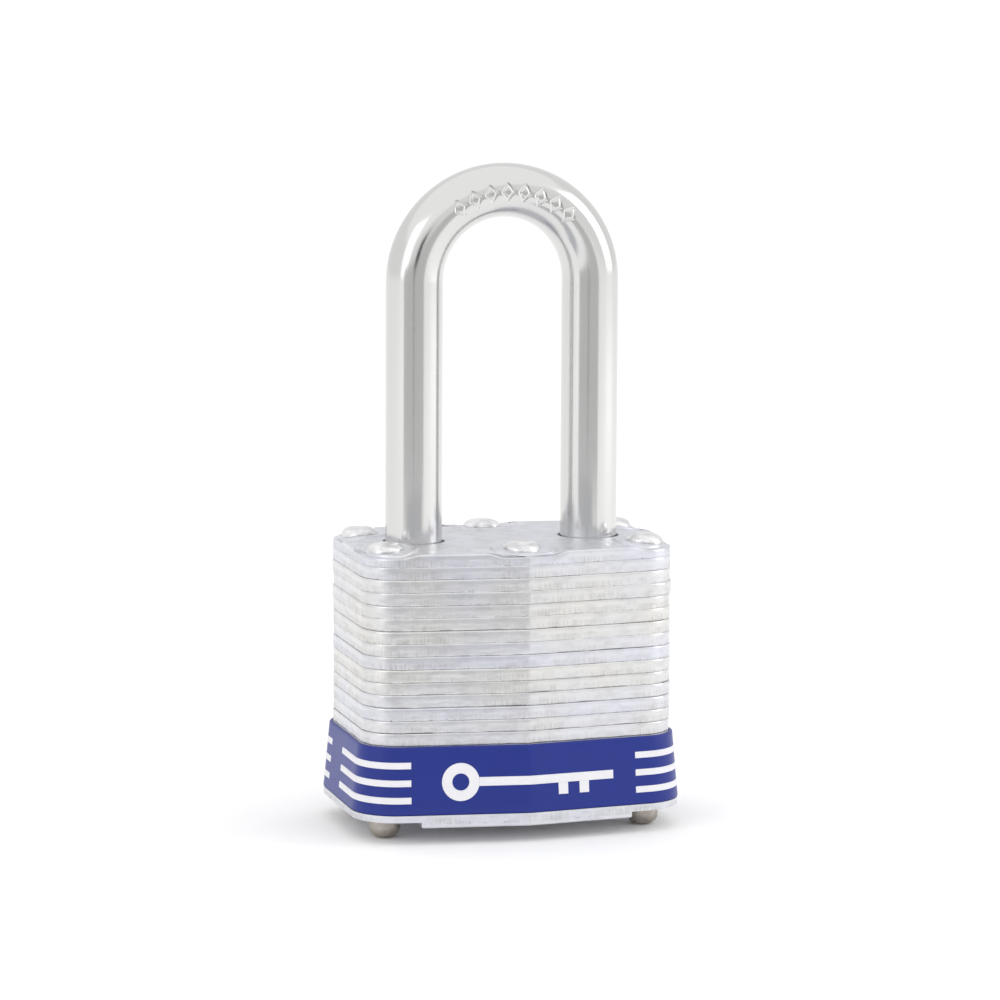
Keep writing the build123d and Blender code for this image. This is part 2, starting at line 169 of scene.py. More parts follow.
def shackle_stations():
    """Rings along the bar from toe to heel: centre x and z, inward x and z, radius and notch depth.

    A leg is a straight line and the crown is half a circle. A step in radius or a notch wall is
    two rings at one height.
    """
    rows = []

    def leg(x, heights, radii, cuts):
        for z, radius, cut in zip(heights, radii, cuts):
            rows.append((x, z, -np.sign(x), 0.0, radius, cut, 0.0))

    r, deep = bar_radius, notch_depth
    round_steps = np.linspace(0, 1, 5)
    toe_round = [toe_end + end_round * (1 - math.cos(t * math.pi / 2)) for t in round_steps]
    toe_radii = [r - end_round * (1 - math.sin(t * math.pi / 2)) for t in round_steps]
    leg(leg_x, [toe_end, *toe_round], [0, *toe_radii], [0] * 6)
    leg(leg_x, [notch_low] * 2 + [notch_high] * 2 + [body_top], [r] * 5, [0, deep, deep, 0, 0])
    reach = (mark_count * mark_pitch / 2 + mark_margin) / leg_x
    dense = np.arange(mark_middle - reach, mark_middle + reach, mark_step / leg_x)
    turns = np.concatenate([
        np.linspace(0, dense[0], 22, endpoint=False), dense, np.linspace(dense[-1], math.pi, 44)[1:]
    ])
    for turn in turns:
        along = (turn - mark_middle) * leg_x
        rows.append((leg_x * math.cos(turn), arch_z + leg_x * math.sin(turn),
                     -math.cos(turn), -math.sin(turn), r, 0.0, along if abs(along) > 0 else 1e-9))
    leg(-leg_x, [body_top, notch_high, notch_high, notch_low, notch_low, shoulder],
        [r] * 6, [0, 0, deep, deep, 0, 0])
    leg(-leg_x, [shoulder, collar_high, collar_high, collar_low + end_round, collar_low, collar_low],
        [neck_radius, neck_radius, r, r, r - end_round, 0], [0] * 6)
    return np.array(rows)


def shackle_surface(stations):
    """Carries a circle along the bar: it is flattened by a notch, thinned at the crown, and
    pressed in by an open lozenge wherever one was punched."""
    band = np.linspace(-24, 24, 38)
    rest = np.linspace(24, 336, 62)[1:-1]
    angles = np.radians(np.concatenate([band, rest]) - 90)
    x, z, inward_x, inward_z, radius, cut, along = (column[:, None] for column in stations.T)
    bend = np.clip(-inward_z, 0, 1) ** 1.5
    inward = radius * (1 - crown_thinning * bend) * np.cos(angles)
    inward = np.minimum(inward, np.where(cut > 0, radius - cut, np.inf))
    outward_y = radius * (1 + crown_widening * bend) * np.sin(angles)
    round_bar = bar_radius * (angles + math.pi / 2)
    last = (mark_count - 1) / 2
    which = np.clip(np.round(along / mark_pitch - 0.5) + 0.5, -last, last)
    beside = along - which * mark_pitch
    lozenge = np.abs(beside) / mark_half_width + np.abs(round_bar) / mark_half_height
    away = np.abs(lozenge - 1) * mark_half_width * 0.8
    pressed = mark_depth * (1 - smooth_step(mark_stroke * 0.45, mark_stroke * 1.25, away))
    pressed = np.where((along != 0) & (np.abs(round_bar) < 2 * mark_half_height), pressed, 0)
    outward_y = outward_y + pressed * np.abs(np.sin(angles)) * (angles < 0)
    return np.stack([x + inward_x * inward, outward_y + 0 * x, z + inward_z * inward], -1)


chrome, tree, shader = material("bright_nickel_chrome_plate")
# Ground, then plated: mirror bright, with fine drawing lines and soft orange peel.
place = add(tree, "ShaderNodeTexCoord").outputs["Object"]
drawn = add(tree, "ShaderNodeMapping", {"Vector": place, "Scale": (9000, 9000, 60)}).outputs[0]
lines = noise(tree, drawn, 1.0, 3.0)
peel = noise(tree, place, 700.0, 2.0)
height = add(tree, "ShaderNodeMath", {0: lines, 1: peel}, operation="ADD")
bump = add(tree, "ShaderNodeBump", {"Height": height.outputs[0], "Strength": 0.1, "Distance": 0.02 * MM})
haze = remap(tree, noise(tree, place, 160.0, 3.0), 0.0, 1.0, 0.12, 0.2)
tree.links.new(haze, shader.inputs["Roughness"])
tree.links.new(bump.outputs[0], shader.inputs["Normal"])
shader.inputs["Base Color"].default_value = linear("#d6d6d5")
shader.inputs["Metallic"].default_value = 1.0

stations = shackle_stations()
surface = shackle_surface(stations)
shackle = make_piece(
    "shackle_bar", surface, grid_quads(*surface.shape[:2]), chrome, "shackle", crease=40, weld=1e-6
)
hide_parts("shackle")

# ---------------------------------------------------------------- plate stack
# Twenty plates blanked from 1/16 in strip and zinc plated. The punch rolls one edge over, shears a
# smooth band and tears the rest, so every plate shows a bright line, a smooth band and a rough one.
# No two lie exactly flush. Their windows are those of the CAD plates.
chance = np.random.default_rng(12)
plate_low, plate_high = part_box("top_plate")
plate_thickness = plate_high.z - plate_low.z
half_width = plate_high.x
half_ridge = plate_high.y
half_end = 11.0 * MM
corner_radius = 4.6 * MM
outline_count = 460
stack_shift = 0.045 * MM
open_seams = (5, 7, 10, 11, 13, 14)


def outline(grow, count):
    """The plates' plan at even steps of its length, and its outward normals: a hexagon whose four
    end corners are arcs, every side moved out by grow."""
    slope = (half_ridge - half_end) / half_width
    reach, radius = half_width + grow, corner_radius + grow
    ridge = half_ridge + grow * math.hypot(1, slope)
    knees = np.array([
        (reach, -(ridge - slope * reach)), (reach, ridge - slope * reach), (0, ridge),
        (-reach, ridge - slope * reach), (-reach, -(ridge - slope * reach)), (0, -ridge),
    ])
    path = []
    for i, knee in enumerate(knees):
        before, after = knees[i - 1] - knee, knees[(i + 1) % 6] - knee
        before, after = before / np.linalg.norm(before), after / np.linalg.norm(after)
        if i in (2, 5):
            path.append(knee[None])
            continue
        half = math.acos(before @ after) / 2
        middle = (before + after) / np.linalg.norm(before + after)
        centre = knee + middle * radius / math.sin(half)
        start = knee + before * radius / math.tan(half) - centre
        sweep = np.linspace(0, math.pi - 2 * half, 17)[:, None]
        path.append(centre + np.cos(sweep) * start + np.sin(sweep) * np.array([-start[1], start[0]]))
    path = np.concatenate([*path, path[0][:1]])
    steps = np.concatenate([[0], np.cumsum(np.linalg.norm(np.diff(path, axis=0), axis=1))])
    even = np.linspace(0, steps[-1], count, endpoint=False)
    points = np.stack([np.interp(even, steps, path[:, i]) for i in (0, 1)], -1)
    along = np.roll(points, -1, 0) - np.roll(points, 1, 0)
    normals = np.stack([along[:, 1], -along[:, 0]], -1)
    return points, normals / np.linalg.norm(normals, axis=1)[:, None], steps[-1]


def window_loops(node):
    """The edges of the windows in a CAD plate's flat top, each as a loop of x, y points."""
    work = bmesh.new()
    work.from_mesh(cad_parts[node].data)
    bmesh.ops.remove_doubles(work, verts=work.verts, dist=1e-6)
    work.edges.index_update()
    top = max(v.co.z for v in work.verts)
    flat = {f for f in work.faces if f.normal.z > 0.99 and f.calc_center_median().z > top - 1e-6}
    rims = {e for e in work.edges if sum(f in flat for f in e.link_faces) == 1}
    loops = []
    while rims:
        edge = min(rims, key=lambda rim: rim.index)
        rims.discard(edge)
        first, here = edge.verts
        loop = [first, here]
        while here is not first:
            edge = next(e for e in here.link_edges if e in rims)
            rims.discard(edge)
            here = edge.other_vert(here)
            loop.append(here)
        loops.append(np.array([v.co[:2] for v in loop[:-1]]))
    work.free()
    loops.sort(key=lambda loop: -np.ptp(loop[:, 0]))
    return loops[1:]


def soft_noise(count, scale, height=1):
    """Smooth random numbers on a closed loop: white noise whose steps shorter than scale points
    are filtered away, with unit spread."""
    spectrum = np.fft.rfft(chance.normal(size=(height, count)), axis=1)
    spectrum *= np.exp(-((np.arange(spectrum.shape[1]) * scale / count) ** 2))
    wave = np.fft.irfft(spectrum, count, axis=1)
    return wave / wave.std()


def lofted_plate(walls, holes, open_top=False):
    """Points and faces of a plate: outer rows from bottom to top, flat caps, and window walls.

    walls is a list of closed rows of points. holes is a list of lists of rows, each from the
    plate's bottom to its top. The upper cap can be left open.
    """
    rows = [walls, *holes]
    points, faces, starts = [], [], []
    for stack in rows:
        first = sum(len(p) for p in points)
        starts.append((first, first + len(stack[0]) * (len(stack) - 1)))
        faces += grid_quads(len(stack), len(stack[0]), first=first)
        points += list(stack)
    points = np.concatenate(points)
    for level in (0,) if open_top else (0, 1):
        loops = [[Vector(p) for p in stack[-level]] for stack in rows]
        index = np.concatenate([
            np.arange(len(stack[0])) + start[level] for stack, start in zip(rows, starts)])
        faces += [[int(index[i]) for i in triangle] for triangle in tessellate_polygon(loops)]
    return points, faces


def at_height(plan, z):
    """Plan points raised to a height, or to one height for each."""
    return np.column_stack([plan, np.broadcast_to(z, len(plan))])


def sheared_wall(base, shift, wide, wear, roll_radius, sag=0.0):
    """The outer rows of one blanked plate, bottom to top: burred lower edge, torn band, smooth band
    and rolled upper edge, with the torn band's relief as smooth noise. sag lowers the upper edge
    by an amount for each point."""
    plan, normals, _ = outline(0, outline_count)
    t = plate_thickness
    levels = np.array([0, 0.03, 0.1, 0.2, 0.3, 0.4, 0.48, 0.56, 0.7, 0.84, 0.92, 0.97, 1.0]) * t
    roll = np.interp(levels, [0.84 * t, 0.92 * t, 0.97 * t, t], [0, 0.18, 0.5, 1.0]) * roll_radius
    burr = np.interp(levels, [0, 0.03 * t, 0.1 * t], [wide, 0.3 * wide, 0])
    torn = 1 - smooth_step(0.42 * t, 0.56 * t, levels)
    relief = soft_noise(outline_count, 7, len(levels)) * 0.011 * MM
    relief = relief + soft_noise(outline_count, 26) * 0.008 * MM
    smooth = soft_noise(outline_count, 40) * 0.006 * MM
    lip = soft_noise(outline_count, 20)[0] * 0.25 + 1
    rows = []
    for level, rolled, burred, share, rough in zip(levels, roll, burr, torn, relief):
        inset = wear - rolled - burred * np.clip(lip, 0.3, 2) - 0.02 * MM * share
        offset = inset + rough * share + smooth[0] * (1 - share) - 0.25 * sag * (level / t) ** 4
        spots = plan + shift + normals * offset[:, None]
        rows.append(at_height(spots, base + level - sag * (level / t) ** 3))
    return rows


zinc, tree, shader = material("zinc_plated_sheared_steel")
# Bright zinc over a blanked edge: pale, faintly blue or straw by plate, streaked upright where the
# steel tore, with dark specks along the seams. The place within a plate is the height over the
# stack's foot in plate thicknesses.
stack_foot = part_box("cylinder_plate_12")[0].z
place = add(tree, "ShaderNodeTexCoord").outputs["Object"]
flat_place = add(tree, "ShaderNodeMapping", {"Vector": place, "Scale": (1, 1, 2.2)}).outputs[0]
upright = add(tree, "ShaderNodeMapping", {"Vector": place, "Scale": (5200, 5200, 420)}).outputs[0]
raised = add(tree, "ShaderNodeSeparateXYZ", {"Vector": place}).outputs[2]
above = add(tree, "ShaderNodeMath", {0: raised, 1: stack_foot}, operation="SUBTRACT").outputs[0]
layers = add(tree, "ShaderNodeMath", {0: above, 1: plate_thickness}, operation="DIVIDE").outputs[0]
level = add(tree, "ShaderNodeMath", {0: layers}, operation="FRACT").outputs[0]
torn = remap(tree, level, 0.62, 0.4, 0.15, 1.0)
seam = remap(tree, level, 0.2, 0.02)
blotch = noise(tree, flat_place, 520.0, 5.0, Roughness=0.6)
drift = noise(tree, place, 110.0, 3.0)
streak = noise(tree, upright, 1.0, 3.0)
grain = noise(tree, flat_place, 3000.0, 4.0, Roughness=0.7)
own_tone = add(tree, "ShaderNodeAttribute", attribute_name="tone").outputs["Fac"]
hue = add(tree, "ShaderNodeMath", {0: own_tone, 1: 0.45, 2: drift}, operation="MULTIPLY_ADD").outputs[0]
pale = add(tree, "ShaderNodeMix", {
    "Factor": remap(tree, hue, 0.45, 1.0), 6: linear("#dcdde4"), 7: linear("#e0dfdc")}, data_type="RGBA")
shade = remap(tree, blotch, 0.3, 0.55, 0.86, 1.0)
streaks = remap(tree, streak, 0.35, 0.6, 0.84, 1.0)
patches = remap(tree, drift, 0.42, 0.6, 0.15, 1.0)
patches = add(tree, "ShaderNodeMath", {0: patches, 1: torn}, operation="MULTIPLY").outputs[0]
streaks = add(tree, "ShaderNodeMix", {"Factor": patches, 2: 1.0, 3: streaks}, data_type="FLOAT").outputs[0]
under_top = remap(tree, raised, plate_high.z - 0.05 * MM, plate_high.z - 0.2 * MM)
seam = add(tree, "ShaderNodeMath", {0: seam, 1: under_top}, operation="MULTIPLY").outputs[0]
specks = remap(tree, grain, 0.36, 0.42, 0.3, 1.0)
specks = add(tree, "ShaderNodeMix", {"Factor": seam, 2: 1.0, 3: specks}, data_type="FLOAT").outputs[0]
dim = add(tree, "ShaderNodeMath", {0: shade, 1: streaks}, operation="MULTIPLY").outputs[0]
dim = add(tree, "ShaderNodeMath", {0: dim, 1: specks}, operation="MULTIPLY").outputs[0]
tinted = add(tree, "ShaderNodeMix", {
    "Factor": 1.0, 6: pale.outputs[2], 7: dim}, data_type="RGBA", blend_type="MULTIPLY")
gloss = remap(tree, torn, 0.15, 1.0, 0.3, 0.44)
relief = add(tree, "ShaderNodeMath", {0: blotch, 1: grain}, operation="ADD")
cuts = add(tree, "ShaderNodeMath", {0: streak, 1: patches}, operation="MULTIPLY")
relief = add(tree, "ShaderNodeMath", {0: relief.outputs[0], 1: cuts.outputs[0]}, operation="ADD")
bump = add(tree, "ShaderNodeBump", {"Height": relief.outputs[0], "Strength": 0.4, "Distance": 0.045 * MM})
tree.links.new(tinted.outputs[2], shader.inputs["Base Color"])
tree.links.new(gloss, shader.inputs["Roughness"])
tree.links.new(bump.outputs[0], shader.inputs["Normal"])
shader.inputs["Metallic"].default_value = 0.85

stack = ["top_plate", "guide_plate_1", "guide_plate_2", "guide_plate_3", "lever_plate_1", "lever_plate_2"]
stack += ["cam_plate", "retainer_plate", *(f"cylinder_plate_{n:02d}" for n in range(1, 13))]
bumper_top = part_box("bumper")[1].z
for number, node in enumerate(stack[1:], start=1):
    low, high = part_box(node)
    hidden = low.z < bumper_top - 0.1 * MM
    shift = chance.normal(size=2) * stack_shift * (0.2 if hidden else 1)
    wear = 0.0 if hidden else chance.normal() * 0.02 * MM
    wide = (0.26 if number in open_seams else 0.07) * MM
    roll = (0.16 if number + 1 in open_seams else 0.09) * MM
    walls = sheared_wall(low.z, shift, wide, wear, roll)
    holes = [[at_height(loop, low.z), at_height(loop, high.z)] for loop in window_loops(node)]
    plate = make_piece(f"sheared_{node}", *lofted_plate(walls, holes), zinc, "body")
    tone = plate.data.attributes.new("tone", "FLOAT", "POINT")
    tone.data.foreach_set("value", np.full(len(plate.data.vertices), chance.uniform(0, 1)))
    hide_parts(node)

# ---------------------------------------------------------------- top plate
# The same blank, uppermost. Setting the six rivets pressed a shallow raised disc round each head,
# cut short where it meets the plate's edge. The shackle holes are punched and slightly rolled.
head_radius = 2.35 * MM
rivet_hole = 2.03 * MM
disc_reach = 4.15 * MM
disc_height = 0.26 * MM
edge_sag = 0.55 * MM
corner_x = 16.7 * MM
corner_y = 6.8 * MM
middle_y = 9.6 * MM
disc_margin = 0.75 * MM
cap_step = 0.7 * MM
cap_margin = 0.5 * MM
hole_clearance = 0.3 * MM
rivet_places = [(x, y) for x in (-corner_x, corner_x) for y in (-corner_y, corner_y)]
rivet_places += [(0.0, -middle_y), (0.0, middle_y)]


def fine_cap(loops, spare, height):
    """Points and triangles of a cap inside the first loop and outside the rest, passing through
    spare points at the heights that height gives. A triangle with all its corners on one hole's
    loop is inside that hole and is left out."""
    count = sum(len(loop) for loop in loops)
    on_loop = [np.full(len(loop), i) for i, loop in enumerate(loops)]
    owner = np.concatenate([*on_loop, np.full(len(spare), -1)])
    edges, first = [], 0
    for loop in loops:
        ring = np.arange(len(loop))
        edges += (np.column_stack([ring, np.roll(ring, -1)]) + first).tolist()
        first += len(loop)
    everything = np.concatenate([*loops, np.column_stack([spare, height(spare)])])
    flat = [Vector(p[:2]) for p in everything]
    triangles, source = delaunay_2d_cdt(flat, edges, [], 0, 1e-9)[2:4]
    origin = np.array([known[0] for known in source])
    holes = [set(owner[origin[list(t)]]) for t in triangles]
    kept = [t for t, at in zip(triangles, holes) if len(at) > 1 or at <= {0, -1}]
    return everything[origin], kept


def sag(points, plan):
    """How far the setting tool pushed the plate down at each point: most at the plate's edge
    beside a rivet, and nothing 3.2 mm in from the edge or 6 mm from a rivet."""
    to_edge = np.linalg.norm(points[:, None] - plan[None], axis=2).min(axis=1)
    to_rivet = np.linalg.norm(points[:, None] - np.array(rivet_places)[None], axis=2).min(axis=1)
    beside_edge = 1 - smooth_step(0, 3.2 * MM, to_edge)
    return edge_sag * beside_edge * (1 - smooth_step(4.4 * MM, 6 * MM, to_rivet))


def disc_rows(centre, plan):
    """Rows of the pressed disc round one rivet, outer to inner: its reach is a circle kept inside
    the plate's edge, it rises over a rounded shoulder and dips beside the head."""
    turns = np.linspace(0, 2 * math.pi, 73)[:-1]
    ways = np.column_stack([np.cos(turns), np.sin(turns)])
    gaps = plan - np.array(centre)
    distance, bearing = np.hypot(*gaps.T), np.arctan2(gaps[:, 1], gaps[:, 0])
    order = np.argsort(bearing)
    edge = np.interp(turns, bearing[order], distance[order], period=2 * math.pi)
    reach = np.minimum(disc_reach, edge - disc_margin)
    rows = []
    for share in (1.0, 0.97, 0.93, 0.88, 0.8, 0.65, 0.45, 0.25, 0.0):
        radius = rivet_hole + (reach - rivet_hole) * share
        dip = 0.25 + 0.75 * smooth_step(0.15, 0.65, share)
        lift = disc_height * (1 - smooth_step(0.86, 1.0, share)) * dip
        spots = centre + ways * radius[:, None]
        rows.append(at_height(spots, body_top + lift - sag(spots, plan)))
    return rows


plan = outline(0, outline_count)[0]
walls = sheared_wall(plate_low.z, np.zeros(2), 0.05 * MM, 0.0, 0.2 * MM, sag(plan, plan))
holes = []
for place_x in (-leg_x, leg_x):
    turns = np.linspace(0, 2 * math.pi, 97)[:-1]
    ways = np.column_stack([np.cos(turns), np.sin(turns)])
    rows = []
    for radius, drop in ((0.0, plate_thickness), (0.0, 0.2 * MM), (0.03 * MM, 0.08 * MM), (0.14 * MM, 0.0)):
        reach = bar_radius + hole_clearance + radius
        rows.append(at_height(ways * reach + (place_x, 0), body_top - drop))
    holes.append(rows)
for spot in rivet_places:
    pressed = disc_rows(np.array(spot), plan)
    holes.append([at_height(pressed[-1][:, :2], plate_low.z), *pressed[::-1]])
grid_x = np.arange(-half_width, half_width, cap_step)
spare = np.stack(np.meshgrid(grid_x, np.arange(-half_ridge, half_ridge, cap_step)), -1).reshape(-1, 2)
edge_x, edge_y = np.abs(spare).T
inside = edge_y < half_ridge - edge_x * (half_ridge - half_end) / half_width - cap_margin
inside &= np.linalg.norm(spare[:, None] - plan[None], axis=2).min(axis=1) > cap_margin
inside &= (edge_x < half_width - cap_margin) & (np.hypot(edge_x - leg_x, edge_y) > bar_radius + 0.8 * MM)
past_x, past_y = edge_x - half_width + corner_radius, edge_y - half_end + corner_radius
inside &= ~((past_x > 0) & (past_y > 0) & (np.hypot(past_x, past_y) > corner_radius - cap_margin))
for spot in rivet_places:
    inside &= np.linalg.norm(spare - np.array(spot), axis=1) > disc_reach + 0.25 * MM
loops = [walls[-1], *(rows[-1] for rows in holes)]
cap_points, cap_faces = fine_cap(loops, spare[inside], lambda spots: body_top - sag(spots, plan))
points, faces = lofted_plate(walls, holes, open_top=True)
faces += (np.array(cap_faces) + len(points)).tolist()
top_plate = make_piece("pressed_top_plate", np.concatenate([points, cap_points]), faces, zinc, "body")
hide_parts("top_plate")

# ---------------------------------------------------------------- rivets
# Six soft steel rivets, headed with a hammer-like die: each dome is a little lopsided and dented.
# The four at the corners run right through, and their rounded lower ends are the lock's feet.
shank_radius = 1.975 * MM
dome_height = 0.95 * MM
foot_rounding = 1.4 * MM


def rivet_surface(centre, low, foot_round, seed_turn):
    """A rivet as rings from its lower end to the top of its dome. The radius and height follow
    the profile, and two soft waves round the axis make the dome lopsided."""
    profile = []
    for t in np.linspace(0, math.pi / 2, 8):
        inset = foot_round * (1 - math.sin(t))
        profile.append((shank_radius - inset, low + foot_round * (1 - math.cos(t))))
    profile = [(0.0, low), *profile] if foot_round else [(0.0, low), (shank_radius, low)]
    profile.append((shank_radius, body_top - 0.1 * MM))
    profile.append((head_radius * 0.97, body_top - 0.04 * MM))
    for t in np.linspace(0.08, 1, 14) * math.pi / 2:
        profile.append((head_radius * math.cos(t) ** 0.8, body_top + dome_height * math.sin(t) ** 0.9))
    radius, z = np.array(profile).T
    turns = np.linspace(0, 2 * math.pi, 49)[:-1]
    share = smooth_step(body_top, body_top + dome_height, z)[:, None]
    lean = 1 + 0.025 * np.sin(turns + seed_turn) + 0.012 * np.sin(3 * turns + 2 * seed_turn)
    dent = 0.03 * MM * share * np.sin(2 * turns + seed_turn) * (radius[:, None] / head_radius)
    ring = radius[:, None] * (1 + (lean - 1) * (z[:, None] > body_top - 0.05 * MM))
    across, deep = centre[0] + ring * np.cos(turns), centre[1] + ring * np.sin(turns)
    sunk = sag(np.stack([across, deep], -1).reshape(-1, 2), plan).reshape(across.shape)
    sunk = sunk * (z[:, None] > body_top - 0.05 * MM) * (1 - share)
    return np.stack([across, deep, z[:, None] + dent - sunk], -1)


peened, tree, shader = material("peened_zinc_plated_rivet")
# Plated before it was set, so the dome is scuffed, and the feet are worn to dull bare steel.
place = add(tree, "ShaderNodeTexCoord").outputs["Object"]
scuff = noise(tree, place, 700.0, 3.0, Roughness=0.5)
tone = add(tree, "ShaderNodeMix", {
    "Factor": remap(tree, scuff, 0.35, 0.6), 6: linear("#d2d2d4"), 7: linear("#eeeeef")}, data_type="RGBA")
bump = add(tree, "ShaderNodeBump", {"Height": scuff, "Strength": 0.3, "Distance": 0.06 * MM})
gloss = remap(tree, scuff, 0.3, 0.7, 0.38, 0.2)
raised = add(tree, "ShaderNodeSeparateXYZ", {"Vector": place}).outputs[2]
foot = remap(tree, raised, 4 * MM, 3 * MM)
dull = add(tree, "ShaderNodeMix", {
    "Factor": scuff, 6: linear("#8e857c"), 7: linear("#cdc6be")}, data_type="RGBA")
whole = add(tree, "ShaderNodeMix", {"Factor": foot, 6: tone.outputs[2], 7: dull.outputs[2]}, data_type="RGBA")
tree.links.new(whole.outputs[2], shader.inputs["Base Color"])
tree.links.new(bump.outputs[0], shader.inputs["Normal"])
tree.links.new(gloss, shader.inputs["Roughness"])
shader.inputs["Metallic"].default_value = 0.9


def rivet_group(name, spots, low, foot_round, node):
    """Several rivets in one piece, each turned differently."""
    points, faces = [], []
    for number, spot in enumerate(spots):
        grid = rivet_surface(spot, low, foot_round, 1.7 * number)
        faces += grid_quads(*grid.shape[:2], first=sum(len(p) for p in points))
        points.append(grid.reshape(-1, 3))
    made = make_piece(name, np.concatenate(points), faces, peened, "body", crease=50)
    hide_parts(node)


rivet_group("peened_corner_rivets", rivet_places[:4], 0.0, foot_rounding, "corner_rivets")
rivet_group("peened_middle_rivets", rivet_places[4:], cylinder_top, 0.0, "middle_rivets")

# ---------------------------------------------------------------- bumper
# A skirt of flexible blue vinyl, injection moulded and stretched over the stack. It flares towards
# the bottom, has a soft rounded rim, and an inturned flange that the bottom plate clamps.
bumper_low, bumper_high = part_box("bumper")
flange_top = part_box("cylinder_plate_12")[0].z
flare_top = 0.42 * MM
flare_bottom = 1.2 * MM
rim_round = 0.22 * MM
flange_inset = 0.98 * MM
bumper_count = 420


def flare(z):
    """How far the bumper stands out from the plates at a height: a straight flare."""
    share = (z - bumper_low.z) / (bumper_high.z - bumper_low.z)
    return flare_bottom + (flare_top - flare_bottom) * share


def bumper_surface():
    """The skirt's section carried round the plan: down the inside, along the flange, and up the
    flared outside, with quarter rounds at the rim and at the lower edge."""
    inside = 0.04 * MM
    low, high = bumper_low.z + 0.01 * MM, bumper_high.z
    section = [(-flange_inset, low)]
    for t in np.linspace(0, math.pi / 2, 6):
        inset = rim_round * (1 - math.sin(t))
        section.append((flare(low) - inset, low + rim_round * (1 - math.cos(t))))
    for z in np.linspace(low + rim_round, high - rim_round, 9)[1:]:
        section.append((flare(z), z))
    edge = flare(high - rim_round)
    for t in np.linspace(0, math.pi / 2, 6)[1:]:
        drawn_in = (edge - 0.12 * MM) * (1 - math.cos(t))
        section.append((edge - drawn_in, high - rim_round * (1 - math.sin(t))))
    section += [(inside, high - 0.03 * MM), (inside, flange_top)]
    section += [(-flange_inset, flange_top), (-flange_inset, low)]
    plan, normals, _ = outline(0, bumper_count)
    slack = soft_noise(bumper_count, 60)[0] * 0.02 * MM
    rows = [at_height(plan + normals * (grow + slack * (grow > inside))[:, None], z) for grow, z in section]
    return np.stack(rows)


vinyl, tree, shader = material("blue_moulded_vinyl")
# Plasticised PVC: saturated blue with a satin skin, faint mould texture and a soft bloom.
place = add(tree, "ShaderNodeTexCoord").outputs["Object"]
bloom = noise(tree, place, 110.0, 3.0)
hue = add(tree, "ShaderNodeMix", {
    "Factor": bloom, 6: linear("#061f7c"), 7: linear("#0a2785")}, data_type="RGBA")
skin = noise(tree, place, 2200.0, 3.0)
bump = add(tree, "ShaderNodeBump", {"Height": skin, "Strength": 0.25, "Distance": 0.03 * MM})
gloss = remap(tree, bloom, 0.0, 1.0, 0.3, 0.42)
tree.links.new(hue.outputs[2], shader.inputs["Base Color"])
tree.links.new(bump.outputs[0], shader.inputs["Normal"])
tree.links.new(gloss, shader.inputs["Roughness"])
shader.inputs["IOR"].default_value = 1.46

skirt = bumper_surface()
bumper = make_piece("vinyl_bumper", skirt, grid_quads(*skirt.shape[:2]), vinyl, "body", crease=50)
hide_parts("bumper")

# ---------------------------------------------------------------- stripes and key sign
# White vinyl ink, laid on thick: three stripes wrap each corner of the bumper, and a plain key
# sign stands in the middle of the front and of the back.
ink_thickness = 0.06 * MM
ink_dip = 0.03 * MM
ink_edge = 0.04 * MM
plan_count = 2400
stripe_heights = (9.88 * MM, 7.7 * MM, 5.58 * MM)
stripe_width = 0.82 * MM
long_stripe = (14.8 * MM, 0.3 * MM)
short_stripe = (14.1 * MM, 5.0 * MM)
sign_height = 7.75 * MM


def on_bumper(along, z, lift):
    """Points on the bumper's outside: along is the distance round the plates' plan from its
    start at the front of the +X end, z the height, lift the distance out of the skin."""
    plan, normals, length = outline(0, plan_count)
    share = (np.asarray(along) / length * plan_count) % plan_count
    low = share.astype(int) % plan_count
    part = (share - share.astype(int))[..., None]
    nearby = (low + 1) % plan_count
    spot = plan[low] * (1 - part) + plan[nearby] * part
    way = normals[low] * (1 - part) + normals[nearby] * part
    way = way / np.linalg.norm(way, axis=-1)[..., None]
    out = (flare(np.asarray(z)) + lift)[..., None]
    return np.concatenate([spot + way * out, np.asarray(z)[..., None] + 0 * part], -1)


def plan_distance(x, y):
    """The distance round the plan of its point nearest to x, y."""
    plan, _, length = outline(0, plan_count)
    return np.argmin(np.hypot(*(plan - (x, y)).T)) * length / plan_count


def ink_patch(along, z, wrap=False):
    """A thin raised patch of ink over a grid of places on the bumper: its skin stands proud and
    its rim dips just under the vinyl."""
    rim = np.full(along.shape, ink_thickness)
    rim[0], rim[-1] = -ink_dip, -ink_dip
    if not wrap:
        rim[:, 0], rim[:, -1] = -ink_dip, -ink_dip
    outer = on_bumper(along, z, rim)
    inner = on_bumper(along, z, np.full(along.shape, -ink_dip))
    rows, columns = along.shape
    faces = grid_quads(rows, columns, wrap)
    back = [face[::-1] for face in grid_quads(rows, columns, wrap, first=rows * columns)]
    return np.concatenate([outer.reshape(-1, 3), inner.reshape(-1, 3)]), faces + back


def bar_patch(start, end, low, high):
    """A straight bar of ink, with a row close inside each edge so that its rim is crisp."""
    count = max(4, int(abs(end - start) / (0.3 * MM)))
    along = np.concatenate([[start], np.linspace(start + ink_edge, end - ink_edge, count), [end]])
    z = np.array([low, low + ink_edge, high - ink_edge, high])
    grid_z, grid_s = np.meshgrid(z, along, indexing="ij")
    return ink_patch(grid_s, grid_z)


def ring_patch(middle, z_middle, inner, outer):
    """A ring of ink about a point of the bumper's skin."""
    turns = np.linspace(0, 2 * math.pi, 65)[:-1]
    radii = np.array([inner, inner + ink_edge, outer - ink_edge, outer])[:, None]
    return ink_patch(middle + radii * np.cos(turns), z_middle + radii * np.sin(turns), wrap=True)


ink, tree, shader = material("white_vinyl_ink")
